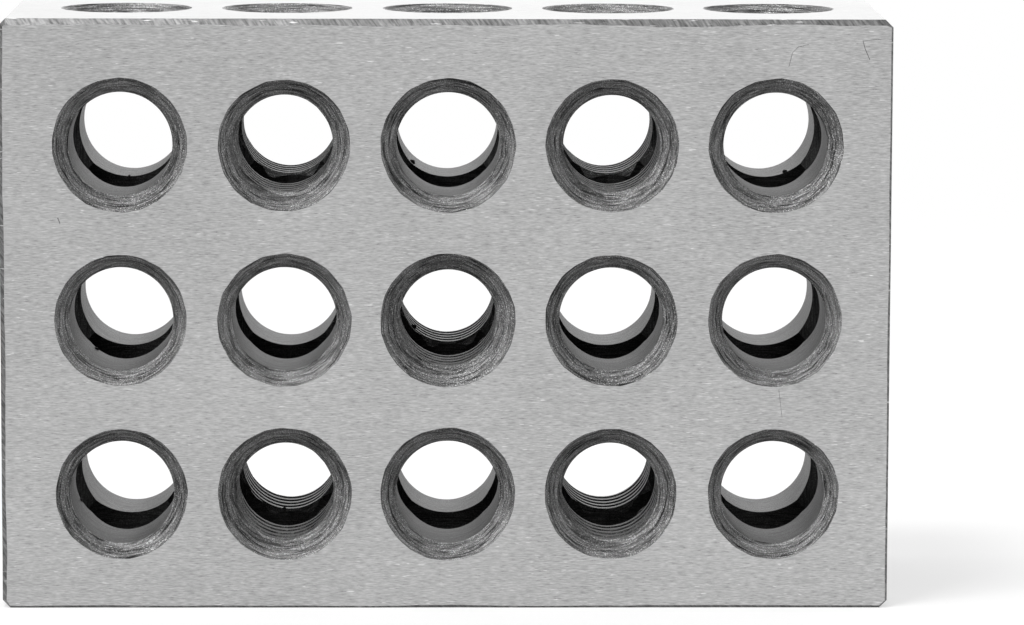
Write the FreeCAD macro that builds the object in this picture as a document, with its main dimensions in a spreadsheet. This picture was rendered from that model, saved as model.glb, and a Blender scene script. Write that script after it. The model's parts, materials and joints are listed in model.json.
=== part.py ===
"""A 1-2-3 setup block: one hardened and ground steel brick, drilled through all three pairs of faces.

It stands on a long narrow face, with X along its length, Y through its thickness and Z up, and the
origin is at the middle of the underside. Every hole runs right through and is countersunk at both
ends. The holes through the length and the height lie in the middle of the thickness, on the rows and
columns of the holes through the thickness, so three bores meet at each of the fifteen places.
"""
import FreeCAD, Part
import os
import Sketcher

# Driving dimensions: word for the sheet, value in millimetres or degrees, and what it measures.
SIZES = (
    ("block_length", 76.2, "3 in, along X"),
    ("block_thickness", 25.4, "1 in, along Y"),
    ("block_height", 50.8, "2 in, along Z"),
    ("edge_chamfer", 0.5, "chamfer of the long edges and of the rims of both ends"),
    ("corner_chamfer", 0.65, "chamfer of the four short edges through the thickness"),
    ("column_pitch", 14.0, "from one column of holes to the next"),
    ("row_pitch", 15.05, "from one row of holes to the next"),
    ("column_shift", 0.2, "middle column, to the right of the middle of the block"),
    ("row_drop", 0.43, "middle row, below the middle of the block"),
    ("plain_bore", 8.9, "diameter of the plain holes through the thickness"),
    ("tapped_bore", 8.3, "crest diameter of the tapped holes, 3/8-16 UNC"),
    ("upright_bore", 8.9, "diameter of the holes through the height"),
    ("long_bore", 8.9, "diameter of the holes through the length"),
    ("countersink_mouth", 11.5, "diameter of each countersink at the face"),
    ("countersink_angle", 90.0, "full angle of each countersink"),
)

COLUMNS = (-2, -1, 0, 1, 2)  # steps of column_pitch from the middle column
ROWS = (-1, 0, 1)  # steps of row_pitch from the middle row
TAPPED = ((-1, -1), (1, -1), (0, 0), (-1, 1), (1, 1))  # (column, row) of the tapped holes
PLAIN = tuple((c, r) for c in COLUMNS for r in ROWS if (c, r) not in TAPPED)

# The Sketcher names a point by its geometry's number, then 1, 2 or 3 for its start, end or centre.
ORIGIN = (-1, 1)


def make_sheet(doc):
    """The spreadsheet that every feature reads."""
    sheet = doc.addObject("Spreadsheet::Sheet", "sizes")
    for line, (word, value, meaning) in enumerate(SIZES, start=1):
        sheet.set(f"A{line}", meaning)
        sheet.set(f"B{line}", str(value))
        sheet.setAlias(f"B{line}", word)
    doc.recompute()
    return sheet


def origin_plane(body, role):
    """One of the body's own origin planes."""
    return next(plane for plane in body.Origin.OriginFeatures if plane.Role == role)


def new_sketch(body, name, role, offset):
    """A sketch parallel to an origin plane, moved along that plane's normal by an expression."""
    sketch = body.newObject("Sketcher::SketchObject", name)
    sketch.AttachmentSupport = [(origin_plane(body, role), "")]
    sketch.MapMode = "FlatFace"
    sketch.setExpression("AttachmentOffset.Base.z", offset)
    return sketch


def bind_constraint(sketch, constraint, name, expression):
    """Adds a constraint, names it and ties it to the sheet."""
    index = sketch.addConstraint(constraint)
    sketch.renameConstraint(index, name)
    sketch.setExpression(f"Constraints.{name}", expression)


def draw_outline(sketch):
    """The broad face: a rectangle that stands on the X axis, centred on the Z axis."""
    left, right, base, top = -30.0, 30.0, 0.0, 40.0
    corners = [(left, base), (right, base), (right, top), (left, top)]
    points = [FreeCAD.Vector(x, z, 0) for x, z in corners]
    for start, end in zip(points, points[1:] + points[:1]):
        sketch.addGeometry(Part.LineSegment(start, end), False)
    for side in range(4):
        sketch.addConstraint(Sketcher.Constraint("Coincident", side, 2, (side + 1) % 4, 1))
    for side, direction in enumerate(("Horizontal", "Vertical", "Horizontal", "Vertical")):
        sketch.addConstraint(Sketcher.Constraint(direction, side))
    sketch.addConstraint(Sketcher.Constraint("Symmetric", 0, 1, 0, 2, *ORIGIN))
    bind_constraint(
        sketch, Sketcher.Constraint("DistanceX", 0, 1, 0, 2, right - left), "width", "sizes.block_length"
    )
    bind_constraint(
        sketch, Sketcher.Constraint("DistanceY", 1, 1, 1, 2, top - base), "rise", "sizes.block_height"
    )


def draw_centres(sketch, places, bore):
    """A circle for each hole, at a pair of expressions for its two coordinates."""
    for number, (across, up) in enumerate(places):
        circle = Part.Circle(FreeCAD.Vector(5.0 * number, 5.0 * number, 0), FreeCAD.Vector(0, 0, 1), 2.0)
        index = sketch.addGeometry(circle, False)
        for kind, name, expression in (("DistanceX", "across", across), ("DistanceY", "up", up)):
            distance = Sketcher.Constraint(kind, *ORIGIN, index, 3, 1.0)
            bind_constraint(sketch, distance, f"{name}_{number}", expression)
        diameter = Sketcher.Constraint("Diameter", index, 4.0)
        bind_constraint(sketch, diameter, f"bore_{number}", f"sizes.{bore}")


def column_place(step):
    """X of a column of holes."""
    return f"sizes.column_shift + {step} * sizes.column_pitch"


def row_place(step):
    """Z of a row of holes."""
    return f"sizes.block_height / 2 - sizes.row_drop + {step} * sizes.row_pitch"


def drill(doc, body, name, sketch, bore, mirror_plane):
    """Drills a sketch's circles right through, countersinks them, and mirrors the countersinks."""
    doc.recompute()
    hole = body.newObject("PartDesign::Hole", name)
    hole.Profile = sketch
    doc.recompute()
    hole.DepthType = "ThroughAll"
    hole.HoleCutType = "Countersink"
    hole.setExpression("Diameter", f"sizes.{bore}")
    hole.setExpression("HoleCutDiameter", "sizes.countersink_mouth")
    hole.setExpression("HoleCutCountersinkAngle", "sizes.countersink_angle")
    doc.recompute()
    far_ends = body.newObject("PartDesign::Mirrored", f"{name}_far_ends")
    far_ends.Originals = [hole]
    far_ends.MirrorPlane = (mirror_plane, [""])
    body.Tip = far_ends
    doc.recompute()


def edges_of(shape, chosen):
    """Names of the edges whose direction passes a test."""
    names = []
    for number, edge in enumerate(shape.Edges, start=1):
        direction = edge.tangentAt(edge.FirstParameter)
        if chosen(direction):
            names.append(f"Edge{number}")
    return names


def add_chamfer(doc, body, name, size, chosen):
    """Chamfers the chosen edges of the body as it stands."""
    base = body.Tip
    chamfer = body.newObject("PartDesign::Chamfer", name)
    chamfer.Base = (base, edges_of(base.Shape, chosen))
    chamfer.setExpression("Size", f"sizes.{size}")
    body.Tip = chamfer
    doc.recompute()


def build_block(doc):
    body = doc.addObject("PartDesign::Body", "setup_block")
    body.Label = "setup_block"

    outline = new_sketch(body, "outline", "XZ_Plane", "0")
    draw_outline(outline)
    brick = body.newObject("PartDesign::Pad", "brick")
    brick.Profile = outline
    brick.SideType = "Symmetric"
    brick.setExpression("Length", "sizes.block_thickness")
    body.Tip = brick
    doc.recompute()

    add_chamfer(doc, body, "short_edges", "corner_chamfer", lambda along: abs(along.y) > 0.9)
    add_chamfer(doc, body, "face_rims", "edge_chamfer", lambda along: abs(along.y) < 0.1)
    return body


def drill_block(doc, body):
    mid_height = body.newObject("PartDesign::Plane", "mid_height")
    mid_height.AttachmentSupport = [(origin_plane(body, "XY_Plane"), "")]
    mid_height.MapMode = "FlatFace"
    mid_height.setExpression("AttachmentOffset.Base.z", "sizes.block_height / 2")

    for name, places, bore in (("plain_holes", PLAIN, "plain_bore"), ("tapped_holes", TAPPED, "tapped_bore")):
        centres = new_sketch(body, f"{name}_centres", "XZ_Plane", "sizes.block_thickness / 2")
        draw_centres(centres, [(column_place(c), row_place(r)) for c, r in places], bore)
        drill(doc, body, name, centres, bore, origin_plane(body, "XZ_Plane"))

    centres = new_sketch(body, "upright_holes_centres", "XY_Plane", "sizes.block_height")
    draw_centres(centres, [(column_place(c), "0") for c in COLUMNS], "upright_bore")
    drill(doc, body, "upright_holes", centres, "upright_bore", mid_height)

    centres = new_sketch(body, "long_holes_centres", "YZ_Plane", "sizes.block_length / 2")
    draw_centres(centres, [("0", row_place(r)) for r in ROWS], "long_bore")
    drill(doc, body, "long_holes", centres, "long_bore", origin_plane(body, "YZ_Plane"))


def check(doc, body):
    """Stops if a feature failed or the block isn't one sound solid."""
    for thing in doc.Objects:
        if "Invalid" in thing.State or "Error" in thing.State:
            raise RuntimeError(f"{thing.Name} failed: {thing.State}")
    shape = body.Shape
    if shape.isNull() or not shape.isValid() or len(shape.Solids) != 1:
        raise RuntimeError(f"{body.Label} isn't one sound solid")


def main():
    doc = FreeCAD.newDocument("SetupBlock")
    make_sheet(doc)
    body = build_block(doc)
    drill_block(doc, body)
    check(doc, body)
    os.makedirs("parts", exist_ok=True)
    body.Shape.exportStep(f"parts/{body.Label}.step")
    print(f"{body.Label}: {body.Shape.Volume:.0f} mm3, {len(body.Shape.Faces)} faces")


main()
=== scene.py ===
"""The looks of the setup block: drilled, tapped, countersunk and ground steel on a white table.

Lengths are metres in the block's own frame: X along its length, Y through its thickness with the
front face towards -Y, and Z up from its underside. The holes come from the record's mounts.
"""

import json
import math
import random

import bmesh
import bpy
import numpy as np
from mathutils import Matrix, Vector, noise


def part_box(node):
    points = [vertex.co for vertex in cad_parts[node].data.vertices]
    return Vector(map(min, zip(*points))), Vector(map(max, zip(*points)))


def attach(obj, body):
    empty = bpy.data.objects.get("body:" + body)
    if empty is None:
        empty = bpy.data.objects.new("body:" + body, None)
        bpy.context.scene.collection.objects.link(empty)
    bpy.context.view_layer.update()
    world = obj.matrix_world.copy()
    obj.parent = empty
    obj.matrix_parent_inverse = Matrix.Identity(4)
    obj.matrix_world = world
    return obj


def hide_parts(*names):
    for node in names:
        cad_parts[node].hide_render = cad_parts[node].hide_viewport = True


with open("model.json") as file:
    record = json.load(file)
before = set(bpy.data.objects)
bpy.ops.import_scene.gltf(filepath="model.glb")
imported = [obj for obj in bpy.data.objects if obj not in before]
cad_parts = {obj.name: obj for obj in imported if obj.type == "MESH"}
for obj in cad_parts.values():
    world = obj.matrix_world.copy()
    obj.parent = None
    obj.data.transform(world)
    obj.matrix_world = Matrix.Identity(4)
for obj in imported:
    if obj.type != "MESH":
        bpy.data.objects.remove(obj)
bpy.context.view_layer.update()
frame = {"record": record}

MM = 0.001
SEGMENTS = 96  # points round a hole
CONE_STEPS = 6  # rows of faces down a countersink
OUTSIDE = 0.6 * MM  # how far a cutter stands out of the face that it enters
THREAD_PITCH = 25.4 / 16 * MM
THREAD_MAJOR = 9.525 * MM / 2
X_AXIS, Y_AXIS, Z_AXIS = Vector((1, 0, 0)), Vector((0, 1, 0)), Vector((0, 0, 1))

BLOCK_LOW, BLOCK_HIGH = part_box("setup_block")
BLOCK_SIZE = BLOCK_HIGH - BLOCK_LOW
BLOCK_MIDDLE = (BLOCK_LOW + BLOCK_HIGH) / 2
SHORT_EDGE_CUT = 0.65 * MM
RIM_WIDTHS = {"top": 0.5 * MM, "left": 0.38 * MM, "right": 0.18 * MM, "under": 0.22 * MM, "corner": 0.1 * MM}
MOUTH_RADIUS = 11.5 * MM / 2

# Scratches on the front face: points in millimetres from its middle, then width and depth.
SCRATCHES = (
    (((29.2, 21.4), (29.5, 22.6), (30.0, 23.1), (30.9, 23.3)), 0.06, 0.02),
    (((35.5, 23.6), (35.7, 22.9), (36.1, 22.0)), 0.07, 0.025),
    (((35.5, 23.6), (37.4, 23.8)), 0.05, 0.02),
    (((28.6, -6.4), (28.9, -8.8)), 0.05, 0.02),
    (((-33.1, 8.4), (-32.9, 7.9)), 0.09, 0.03),
)

GROUND, GROUND_ENDS, BEVEL, COUNTERSINK, WALL, THREAD, CROSSING, SCRATCH = range(8)
rng = random.Random(23)


# ---------------------------------------------------------------- mesh helpers

def object_from(name, points, faces, slots):
    """A closed mesh object, its faces turned outwards; slots gives each face's material index."""
    mesh = bpy.data.meshes.new(name)
    mesh.from_pydata(points, [], faces)
    mesh.polygons.foreach_set("material_index", slots)
    for _ in range(8):
        mesh.materials.append(None)
    work = bmesh.new()
    work.from_mesh(mesh)
    bmesh.ops.recalc_face_normals(work, faces=work.faces)
    work.to_mesh(mesh)
    work.free()
    thing = bpy.data.objects.new(name, mesh)
    bpy.context.scene.collection.objects.link(thing)
    return thing


def combine(target, cutter, operation):
    """Adds or takes away a closed mesh, which is then deleted."""
    step = target.modifiers.new("step", "BOOLEAN")
    step.operation = operation
    step.object = cutter
    step.solver = "MANIFOLD"
    graph = bpy.context.evaluated_depsgraph_get()
    result = bpy.data.meshes.new_from_object(target.evaluated_get(graph), depsgraph=graph)
    target.modifiers.clear()
    old = target.data
    target.data = result
    bpy.data.meshes.remove(old)
    bpy.data.objects.remove(cutter)


def across_of(axis):
    """Two directions square to a hole's axis."""
    first = Y_AXIS if abs(axis.x) > 0.5 else X_AXIS
    return first, axis.cross(first)


# ---------------------------------------------------------------- the brick

def rim_width(x, z, side):
    """How wide the rim of a broad face is dressed off at a point of its outline."""
    half = BLOCK_SIZE / 2
    if half.x - abs(x) < 1e-7:
        width = RIM_WIDTHS["left" if x < 0 else "right"]
    elif half.z - abs(z) < 1e-7:
        width = RIM_WIDTHS["under" if z < 0 else "top"]
    else:
        return RIM_WIDTHS["corner"]
    wave = noise.noise(Vector((x, side * 0.05, z)) * 140) + 0.5 * noise.noise(Vector((x, z, side)) * 600)
    return width * (1 + 0.35 * wave)


def outline():
    """Points round the broad face from its lower left, and the slot of the side that follows each."""
    half, cut = BLOCK_SIZE / 2, SHORT_EDGE_CUT
    corners = [
        (-half.x + cut, -half.z), (half.x - cut, -half.z), (half.x, -half.z + cut), (half.x, half.z - cut),
        (half.x - cut, half.z), (-half.x + cut, half.z), (-half.x, half.z - cut), (-half.x, -half.z + cut),
    ]
    points, slots = [], []
    for k, (x0, z0) in enumerate(corners):
        x1, z1 = corners[(k + 1) % 8]
        steps = 1 if k % 2 else round(math.hypot(x1 - x0, z1 - z0) / (0.8 * MM))
        slot = BEVEL if k % 2 else (GROUND, GROUND_ENDS)[k // 2 % 2]
        for step in range(steps):
            points.append((x0 + (x1 - x0) * step / steps, z0 + (z1 - z0) * step / steps))
            slots.append(slot)
    return points, slots


def brick():
    """The block before drilling: a box whose rims and short edges were dressed off by hand."""
    half = BLOCK_SIZE / 2
    edge, edge_slots = outline()
    rings = []
    for side, at_face in ((-1, True), (-1, False), (1, False), (1, True)):
        ring = []
        for x, z in edge:
            width = rim_width(x, z, side)
            inset_x = math.copysign(min(abs(x), half.x - width), x) if at_face else x
            inset_z = math.copysign(min(abs(z), half.z - width), z) if at_face else z
            ring.append(Vector((inset_x, side * (half.y - (0 if at_face else width)), inset_z)) + BLOCK_MIDDLE)
        rings.append(ring)
    count = len(edge)
    faces, slots = [], []
    for row in range(3):
        for k in range(count):
            n = (k + 1) % count
            faces.append((row * count + k, row * count + n, (row + 1) * count + n, (row + 1) * count + k))
            slots.append(edge_slots[k] if row == 1 else BEVEL)
    faces += [tuple(range(count)), tuple(range(3 * count, 4 * count))]
    slots += [GROUND, GROUND]
    return object_from("setup_block_dressed", [p for ring in rings for p in ring], faces, slots)


# ---------------------------------------------------------------- cutters

def chattered(radius, sides, wobble):
    """Radius round a hole that a chattering cutter left with flat-sided facets."""
    turn = rng.uniform(0, math.tau)
    corners = []
    for k in range(sides):
        angle = turn + math.tau * (k + rng.uniform(-0.16, 0.16)) / sides
        corners.append((angle, radius + rng.uniform(-wobble, wobble)))
    corners.append((corners[0][0] + math.tau, corners[0][1]))

    def at(angle):
        angle = corners[0][0] + (angle - corners[0][0]) % math.tau
        for (a0, r0), (a1, r1) in zip(corners, corners[1:]):
            if angle <= a1:
                break
        x0, y0 = r0 * math.cos(a0), r0 * math.sin(a0)
        x1, y1 = r1 * math.cos(a1), r1 * math.sin(a1)
        c, s = math.cos(angle), math.sin(angle)
        flat = (x0 * y1 - x1 * y0) / (c * (y1 - y0) - s * (x1 - x0))
        round_off = r0 + (r1 - r0) * (angle - a0) / (a1 - a0)
        return 0.65 * flat + 0.35 * round_off
    return at


def mouth(bore, length):
    """Rows of (radius, place along the axis) from outside a face down its countersink to the bore."""
    edge = chattered(MOUTH_RADIUS + rng.uniform(-0.1, 0.1) * MM, rng.randint(17, 24), 0.035 * MM)
    twist = rng.choice((-1, 1)) * rng.uniform(0.1, 0.3)
    rows = []
    for step in range(-1, CONE_STEPS + 1):
        share = max(step, 0) / CONE_STEPS
        row = []
        for k in range(SEGMENTS):
            angle = math.tau * k / SEGMENTS
            wide = edge(angle + twist * share)
            deep = share * (wide - bore)
            row.append((wide - deep, -length / 2 + deep - (OUTSIDE if step < 0 else 0)))
        rows.append(row)
    return rows


def lathe(name, rows, slots, middle, axis):
    """A closed body with rows of (radius, place along the axis) round an axis."""
    first, second = across_of(axis)
    points, faces, indices = [], [], []
    for row in rows:
        for k, (radius, along) in enumerate(row):
            angle = math.tau * k / SEGMENTS
            points.append(
                middle + axis * along + (first * math.cos(angle) + second * math.sin(angle)) * radius
            )
    for r, slot in enumerate(slots):
        for k in range(SEGMENTS):
            n = (k + 1) % SEGMENTS
            faces.append((r * SEGMENTS + k, r * SEGMENTS + n, (r + 1) * SEGMENTS + n, (r + 1) * SEGMENTS + k))
            indices.append(slot)
    last = (len(rows) - 1) * SEGMENTS
    faces += [tuple(range(SEGMENTS)), tuple(range(last, last + SEGMENTS))]
    indices += [slots[0], slots[-1]]
    return object_from(name, points, faces, indices)


def drilled(name, hole, slot):
    """The cutter of a hole that runs right through, with a countersink at both ends."""
    near = mouth(hole["radius"], hole["length"])
    far = [[(radius, -along) for radius, along in row] for row in mouth(hole["radius"], hole["length"])]
    cone = [COUNTERSINK] * (CONE_STEPS + 1)
    return lathe(name, near + far[::-1], cone + [slot] + cone, hole["middle"], hole["axis"])


def tapped(name, hole):
    """A screw-shaped cutter: rows that climb one pitch a turn, four of them to each pitch."""
    minor, major = hole["radius"], THREAD_MAJOR
    flank = (major - minor) * math.tan(math.radians(30))
    root = THREAD_PITCH / 8
    crest = THREAD_PITCH - root - 2 * flank
    profile = ((0, minor), (crest, minor), (crest + flank, major), (crest + flank + root, major))
    turns = math.ceil((hole["length"] + 2 * OUTSIDE) / THREAD_PITCH)
    start = -hole["length"] / 2 - OUTSIDE - THREAD_PITCH
    first, second = across_of(hole["axis"])
    count, rows = 64, 4 * turns + 1
    points = []
    for row in range(rows):
        rise, radius = profile[row % 4]
        for k in range(count):
            angle = math.tau * k / count
            along = start + (row // 4 + k / count) * THREAD_PITCH + rise
            around = first * math.cos(angle) + second * math.sin(angle)
            points.append(hole["middle"] + hole["axis"] * along + around * radius)

    def index(row, k):
        return (row + 4) * count if k == count else row * count + k

    faces = []
    for k in range(count):
        for row in range(rows - 1 - (4 if k == count - 1 else 0)):
            faces.append((index(row, k), index(row, k + 1), index(row + 1, k + 1), index(row + 1, k)))
    low = [index(0, k) for k in range(count)] + [index(row, 0) for row in (4, 3, 2, 1)]
    high = [index(rows - 1, k) for k in range(count)] + [index(rows - 1 - n, count - 1) for n in (1, 2, 3, 4)]
    for loop, end in ((low, start - OUTSIDE), (high, start + (turns + 2) * THREAD_PITCH)):
        points.append(hole["middle"] + hole["axis"] * end)
        tip = len(points) - 1
        faces += [(loop[n], loop[(n + 1) % len(loop)], tip) for n in range(len(loop))]
    return object_from(name, points, faces, [THREAD] * len(faces))


def read_holes():
    """Every hole that the record's mounts name, with its axis, middle, radius and full length."""
    holes = []
    for mount in frame["record"]["mounts"]:
        if "r_mm" not in mount.get("dims", {}):
            continue
        axis = Vector([abs(v) for v in mount["axis"]])
        middle = Vector(mount["pos_m"])
        side = max(range(3), key=lambda n: axis[n])
        middle[side] = BLOCK_MIDDLE[side]
        holes.append({
            "name": mount["name"], "axis": axis, "side": side, "middle": middle,
            "radius": mount["dims"]["r_mm"] * MM, "length": BLOCK_SIZE[side],
            "seed": rng.uniform(0, 100),
        })
    return holes


def burr(hole, crossing_radius):
    """A torn chip left on the edge where a crossing bore breaks into a hole."""
    body = bmesh.new()
    bmesh.ops.create_icosphere(body, subdivisions=2, radius=1.0)
    size = rng.uniform(0.14, 0.3) * MM
    stretch = Vector((rng.uniform(0.8, 1.6), rng.uniform(0.8, 1.4), rng.uniform(0.7, 1.2)))
    angle = rng.uniform(0, math.tau)
    end = rng.choice((-1, 1)) * crossing_radius * 0.97
    place = hole["middle"] + Vector((math.cos(angle), 0, math.sin(angle))) * hole["radius"] + Y_AXIS * end
    for vertex in body.verts:
        lump = 1 + 0.45 * noise.noise(vertex.co * 1.7 + place * 900)
        vertex.co = vertex.co * stretch * size * lump + place
    mesh = bpy.data.meshes.new("burr")
    body.to_mesh(mesh)
    body.free()
    chip = bpy.data.objects.new("burr", mesh)
    for _ in range(8):
        mesh.materials.append(None)
    # the chip takes the crossing bores' nearly black colour, which is painted shade
    mesh.polygons.foreach_set("material_index", [CROSSING] * len(mesh.polygons))
    bpy.context.scene.collection.objects.link(chip)
    return chip


def scratch(points, width, depth):
    """The cutter of a hairline scratch in the front face, through points given from its middle."""
    face = BLOCK_LOW.y
    corners, faces = [], []
    for k, (x, z) in enumerate(points):
        x0, z0 = points[max(k - 1, 0)]
        x1, z1 = points[min(k + 1, len(points) - 1)]
        side = Vector((z1 - z0, 0, x0 - x1)).normalized() * width * MM / 2
        middle = BLOCK_MIDDLE + Vector((x, 0, z)) * MM
        middle.y = face
        lift = Y_AXIS * 0.05 * MM
        corners += [middle - side * 2 - lift, middle + side * 2 - lift, middle + Y_AXIS * depth * MM]
    for k in range(len(points) - 1):
        for a, b in ((0, 1), (1, 2), (2, 0)):
            faces.append((3 * k + a, 3 * k + b, 3 * k + 3 + b, 3 * k + 3 + a))
    faces += [(0, 1, 2), tuple(len(corners) - n for n in (3, 2, 1))]
    return object_from("scratch", corners, faces, [SCRATCH] * len(faces))


def block(holes):
    body = brick()
    for hole in holes:
        slot = WALL if hole["side"] == 1 else CROSSING
        combine(body, drilled(hole["name"], hole, slot), "DIFFERENCE")
        if hole["name"].startswith("tapped"):
            combine(body, tapped(hole["name"], hole), "DIFFERENCE")
    crossing_radius = max(hole["radius"] for hole in holes if hole["side"] == 2)
    for hole in holes:
        if hole["side"] == 1:
            for _ in range(rng.randint(0, 2)):
                combine(body, burr(hole, crossing_radius), "UNION")
    for points, width, depth in SCRATCHES:
        combine(body, scratch(points, width, depth), "DIFFERENCE")
    return body


# ---------------------------------------------------------------- hole coordinates

def mark_holes(piece, holes):
    """Stores on each hole's faces where they are from its axis, in millimetres, and a number of its own."""
    mesh = piece.data
    centres = np.array([tuple(p.center) for p in mesh.polygons])
    slots = np.array([p.material_index for p in mesh.polygons])
    starts = np.array([p.loop_start for p in mesh.polygons])
    totals = np.array([p.loop_total for p in mesh.polygons])
    best = np.full(len(centres), np.inf)
    owner = np.full(len(centres), -1)
    for number, hole in enumerate(holes):
        along, radial = along_and_out(centres, hole)
        depth = hole["length"] / 2 - np.abs(along)
        on_wall = np.isin(slots, (WALL, THREAD) if hole["side"] == 1 else (CROSSING,))
        error = np.where(on_wall, np.abs(radial - hole["radius"]), np.inf)
        cone = (slots == COUNTERSINK) & (depth < 2 * MM)
        error = np.where(cone, np.abs(radial - (MOUTH_RADIUS - depth)), error)
        closer = error < best
        best[closer] = error[closer]
        owner[closer] = number
    local = np.zeros((len(mesh.loops), 3), np.float32)
    seed = np.zeros(len(mesh.loops), np.float32)
    corners = np.array([tuple(mesh.vertices[loop.vertex_index].co) for loop in mesh.loops])
    for number, hole in enumerate(holes):
        mine = np.zeros(len(mesh.loops), bool)
        for face in np.nonzero(owner == number)[0]:
            mine[starts[face]:starts[face] + totals[face]] = True
        away = corners[mine] - np.array(hole["middle"])
        first, second = across_of(hole["axis"])
        local[mine] = np.stack([away @ np.array(v) for v in (first, second, hole["axis"])], 1) / MM
        seed[mine] = hole["seed"]
    mesh.attributes.new("hole_place", "FLOAT_VECTOR", "CORNER").data.foreach_set("vector", local.ravel())
    mesh.attributes.new("hole_number", "FLOAT", "CORNER").data.foreach_set("value", seed)


def along_and_out(points, hole):
    """How far points lie along a hole's axis from its middle, and out from that axis."""
    away = points - np.array(hole["middle"])
    along = away @ np.array(hole["axis"])
    out = np.linalg.norm(away - np.outer(along, np.array(hole["axis"])), axis=1)
    return along, out


# ---------------------------------------------------------------- materials

class Nodes:
    """Short calls that build one material's nodes round its Principled shader."""

    def __init__(self, name):
        self.material = bpy.data.materials.new(name)
        self.material.use_nodes = True
        self.tree = self.material.node_tree
        self.shader = self.tree.nodes["Principled BSDF"]

    def put(self, value, socket):
        if isinstance(value, bpy.types.NodeSocket):
            self.tree.links.new(value, socket)
        else:
            socket.default_value = value

    def node(self, kind, inputs=(), out=0, **settings):
        made = self.tree.nodes.new(kind)
        for key, value in settings.items():
            setattr(made, key, value)
        for key, value in dict(inputs).items():
            self.put(value, made.inputs[key])
        return made.outputs[out]

    def math(self, operation, *values):
        return self.node("ShaderNodeMath", enumerate(values), operation=operation)

    def vector(self, operation, *values):
        return self.node("ShaderNodeVectorMath", enumerate(values), operation=operation)

    def noise(self, place, scale, detail=2.0, roughness=0.5, seed=0.0):
        inputs = {"Vector": place, "W": seed, "Scale": scale, "Detail": detail, "Roughness": roughness}
        return self.node("ShaderNodeTexNoise", inputs, noise_dimensions="4D")

    def span(self, value, low, high, to_low=0.0, to_high=1.0):
        """Maps low..high to to_low..to_high and holds the ends."""
        inputs = {"Value": value, "From Min": low, "From Max": high, "To Min": to_low, "To Max": to_high}
        return self.node("ShaderNodeMapRange", inputs)

    def mix(self, share, first, second):
        made = self.tree.nodes.new("ShaderNodeMix")
        made.data_type = "RGBA"
        self.put(share, made.inputs[0])
        self.put(first, made.inputs[6])
        self.put(second, made.inputs[7])
        return made.outputs[2]

    def grey(self, value):
        return self.node("ShaderNodeCombineColor", {0: value, 1: value, 2: value})

    def bump(self, height, depth, strength=1.0, under=None):
        inputs = {"Height": height, "Distance": depth, "Strength": strength}
        if under is not None:
            inputs["Normal"] = under
        return self.node("ShaderNodeBump", inputs)

    def finish(self, **inputs):
        for key, value in inputs.items():
            self.put(value, self.shader.inputs[key.replace("_", " ")])
        return self.material


def ground_steel(name, stretch):
    """Surface-ground steel: short fine streaks along the wheel's travel, with a few bright hairlines."""
    n = Nodes(name)
    place = n.node("ShaderNodeTexCoord", out=3)
    fine = n.noise(n.vector("MULTIPLY", place, stretch), 1.0, 3.0, 0.65)
    wide = n.noise(n.vector("MULTIPLY", place, [v * 0.3 for v in stretch]), 1.0, 2.0, 0.5, 3.0)
    cloud = n.noise(place, 110.0, 3.0, 0.5, 5.0)
    hair = n.noise(n.vector("MULTIPLY", place, [v * 0.9 for v in stretch]), 1.0, 1.0, 0.5, 9.0)
    patch = n.noise(n.vector("MULTIPLY", place, [v * 0.12 for v in stretch]), 1.0, 1.0, 0.5, 13.0)
    tone = n.math("ADD", n.span(fine, 0.25, 0.75, -0.19, 0.19), n.span(wide, 0.3, 0.7, -0.03, 0.03))
    tone = n.math("ADD", tone, n.span(cloud, 0.3, 0.7, -0.02, 0.02))
    flash = n.math("MULTIPLY", n.span(hair, 0.66, 0.72, 0.0, 0.3), n.span(patch, 0.45, 0.6))
    base = n.grey(n.math("ADD", n.math("ADD", tone, flash), 0.445))
    rough = n.span(fine, 0.3, 0.7, 0.26, 0.4)
    normal = n.bump(fine, 0.004 * MM)
    return n.finish(Base_Color=base, Metallic=1.0, Roughness=rough, Normal=normal)


def bevel_steel():
    """Hand-finished edges: darker steel with slanting marks from the wheel."""
    n = Nodes("bevel_steel")
    place = n.node("ShaderNodeTexCoord", out=3)
    slant = n.node("ShaderNodeMapping", {"Vector": place, "Rotation": (0, math.radians(38), 0)})
    marks = n.noise(n.vector("MULTIPLY", slant, (5200.0, 900.0, 900.0)), 1.0, 2.0, 0.5)
    dabs = n.noise(n.vector("MULTIPLY", place, (500.0, 500.0, 4000.0)), 1.0, 2.0, 0.5, 4.0)
    tone = n.math("ADD", n.span(marks, 0.3, 0.7, 0.07, 0.22), n.span(dabs, 0.64, 0.7, 0.0, 0.3))
    normal = n.bump(marks, 0.01 * MM)
    return n.finish(Base_Color=n.grey(tone), Metallic=1.0, Roughness=0.38, Normal=normal)


def hole_places(n):
    """(place from the axis in millimetres, unit direction round the axis, seed) of a hole's surface."""
    place = n.node("ShaderNodeAttribute", attribute_name="hole_place", out=1)
    seed = n.node("ShaderNodeAttribute", attribute_name="hole_number", out=2)
    around = n.vector("NORMALIZE", n.vector("MULTIPLY", place, (1.0, 1.0, 0.0)))
    return place, around, seed


def rings(n, place, around, seed, fine, reach, detail=3.0):
    """Noise drawn out round a hole: fine is how many marks a millimetre of depth has."""
    depth = n.vector("MULTIPLY", place, (0.0, 0.0, fine))
    track = n.vector("ADD", n.vector("MULTIPLY", around, (reach, reach, 0.0)), depth)
    return n.noise(track, 1.0, detail, 0.6, seed)


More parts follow.
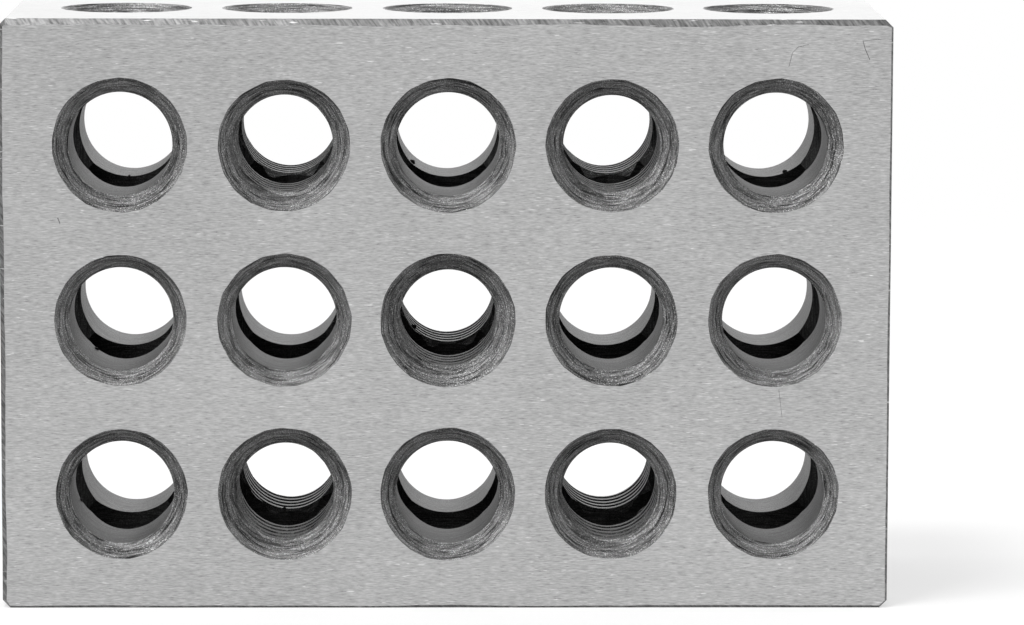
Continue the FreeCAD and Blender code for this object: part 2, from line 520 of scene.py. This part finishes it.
def hole_steel(name, low, high, fleck, rough, ring_depth):
    """Turned steel: dark rings, torn grain and bright flecks."""
    n = Nodes(name)
    place, around, seed = hole_places(n)
    ring = rings(n, place, around, seed, 6.5, 1.6)
    hairline = rings(n, place, around, n.math("ADD", seed, 7.0), 15.0, 3.0, 2.0)
    grain = n.noise(place, 13.0, 3.0, 0.7, seed)
    tone = n.math("ADD", n.math("MULTIPLY", ring, 0.55), n.math("MULTIPLY", hairline, 0.45))
    tone = n.span(tone, 0.38, 0.62, low, high)
    tone = n.math("MULTIPLY", tone, n.span(grain, 0.32, 0.68, 0.35, 1.65))
    flecks = n.math("MULTIPLY", n.span(grain, 0.56, 0.62), n.span(hairline, 0.45, 0.56))
    base = n.mix(n.math("MULTIPLY", flecks, fleck), n.grey(tone), (0.8, 0.8, 0.8, 1.0))
    normal = n.bump(ring, ring_depth)
    normal = n.bump(grain, ring_depth * 1.2, under=normal)
    return n.finish(Base_Color=base, Metallic=1.0, Roughness=rough, Normal=normal)


def scratch_steel():
    n = Nodes("scratch_steel")
    place = n.node("ShaderNodeTexCoord", out=3)
    tone = n.span(n.noise(place, 4000.0), 0.3, 0.7, 0.12, 0.3)
    return n.finish(Base_Color=n.grey(tone), Metallic=1.0, Roughness=0.4)


def dress(piece):
    """Gives every zone its material."""
    materials = {
        GROUND: ground_steel("ground_steel", (1300.0, 13000.0, 13000.0)),
        GROUND_ENDS: ground_steel("ground_steel_ends", (13000.0, 1300.0, 13000.0)),
        BEVEL: bevel_steel(),
        COUNTERSINK: hole_steel("countersink_steel", 0.02, 0.32, 0.9, 0.34, 0.05 * MM),
        WALL: hole_steel("bore_steel", 0.03, 0.16, 0.15, 0.48, 0.02 * MM),
        THREAD: hole_steel("thread_steel", 0.02, 0.13, 0.3, 0.48, 0.03 * MM),
        # painted shade: the crossing bores' walls, and the burrs on them, are coloured nearly black (0.015 to
        # 0.05) for the dark where the bores meet
        CROSSING: hole_steel("crossing_bore_painted_shade_steel", 0.015, 0.05, 0.05, 0.6, 0.03 * MM),
        SCRATCH: scratch_steel(),
    }
    for slot, material in materials.items():
        piece.data.materials[slot] = material


def smooth(piece):
    """Rounds the hole walls in shading, and keeps their rims and the ground faces crisp."""
    mesh = piece.data
    mesh.polygons.foreach_set("use_smooth", [p.material_index >= COUNTERSINK for p in mesh.polygons])
    mesh.set_sharp_from_angle(angle=math.radians(30))


# ---------------------------------------------------------------- stage, light and camera

def set_camera():
    """A long lens, close to the table and nearly square to the front face."""
    yaw, pitch, roll = (math.radians(v) for v in (0.98, 7.486, 0.166))
    ahead = Vector((math.sin(yaw) * math.cos(pitch), math.cos(yaw) * math.cos(pitch), -math.sin(pitch)))
    right = Vector((math.cos(yaw), -math.sin(yaw), 0))
    turned = Matrix.Rotation(-roll, 3, ahead)
    right = turned @ right
    up = right.cross(ahead)
    data = bpy.data.cameras.new("camera")
    data.sensor_width = 36
    data.lens = 190.8
    data.clip_start = 0.01
    data.clip_end = 20
    camera = bpy.data.objects.new("camera", data)
    camera.matrix_world = Matrix((right, up, -ahead)).transposed().to_4x4()
    camera.location = Vector((-2.2, -473.2, 86.2)) * MM
    bpy.context.scene.collection.objects.link(camera)
    bpy.context.scene.camera = camera


def set_world():
    """White to the camera and in reflections, and a plain level as light."""
    world = bpy.data.worlds.new("studio")
    world.use_nodes = True
    bpy.context.scene.world = world
    nodes, links = world.node_tree.nodes, world.node_tree.links
    background = nodes["Background"]
    background.inputs["Color"].default_value = (1, 1, 1, 1)
    path = nodes.new("ShaderNodeLightPath")
    seen = path.outputs["Is Camera Ray"]
    for word in ("Is Glossy Ray", "Is Transmission Ray"):
        either = nodes.new("ShaderNodeMath")
        either.operation = "MAXIMUM"
        links.new(seen, either.inputs[0])
        links.new(path.outputs[word], either.inputs[1])
        seen = either.outputs[0]
    level = nodes.new("ShaderNodeMapRange")
    links.new(seen, level.inputs["Value"])
    level.inputs["To Min"].default_value = WORLD_LIGHT
    level.inputs["To Max"].default_value = 1.0
    links.new(level.outputs[0], background.inputs["Strength"])


def add_lamp(name, place, size, power):
    """A square soft box aimed at the block."""
    data = bpy.data.lights.new(name, "AREA")
    data.size = size
    data.energy = power
    lamp = bpy.data.objects.new(name, data)
    lamp.location = place
    lamp.rotation_euler = (BLOCK_MIDDLE - Vector(place)).to_track_quat("-Z", "Y").to_euler()
    lamp.visible_camera = False
    bpy.context.scene.collection.objects.link(lamp)


def add_floor():
    """A white table top: its own shade shows round the block, and pure white farther out."""
    reach = 3.0
    mesh = bpy.data.meshes.new("table_top")
    mesh.from_pydata([(-reach, -reach, 0), (reach, -reach, 0), (reach, reach, 0), (-reach, reach, 0)], [],
                     [(0, 1, 2, 3)])
    n = Nodes("white_table")
    place = n.node("ShaderNodeTexCoord", out=3)
    tone = n.span(n.noise(place, 3.0), 0.3, 0.7, 0.93, 0.95)
    n.finish(Base_Color=n.grey(tone), Roughness=0.9)
    away = n.node("ShaderNodeVectorMath", {0: place}, out=1, operation="LENGTH")
    white = n.span(away, 0.05, 0.3, 0.5, 1.0)
    seen = n.node("ShaderNodeLightPath")
    glossy = n.node("ShaderNodeLightPath", out=3)
    white = n.math("MULTIPLY", white, n.math("MAXIMUM", seen, glossy))
    glow = n.node("ShaderNodeEmission", {"Color": (1, 1, 1, 1), "Strength": 1.0})
    both = n.node("ShaderNodeMixShader", {0: white, 1: n.shader.outputs[0], 2: glow})
    n.put(both, n.tree.nodes["Material Output"].inputs["Surface"])
    mesh.materials.append(n.material)
    floor = bpy.data.objects.new("table_top", mesh)
    bpy.context.scene.collection.objects.link(floor)


WORLD_LIGHT = 0.75
holes = read_holes()
piece = block(holes)
mark_holes(piece, holes)
dress(piece)
smooth(piece)
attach(piece, "root")
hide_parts("setup_block")
set_camera()
set_world()
add_floor()
add_lamp("overhead", (-0.2, -0.25, 0.9), 0.2, 3.0)
add_lamp("left_side", (-0.9, -0.3, 0.6), 0.9, 5.0)
add_lamp("behind", (0.1, 1.4, 0.45), 0.7, 1.1)
add_lamp("right_front", (1.0, -1.0, 0.25), 0.6, 2.0)
bpy.context.scene.view_settings.view_transform = "Standard"
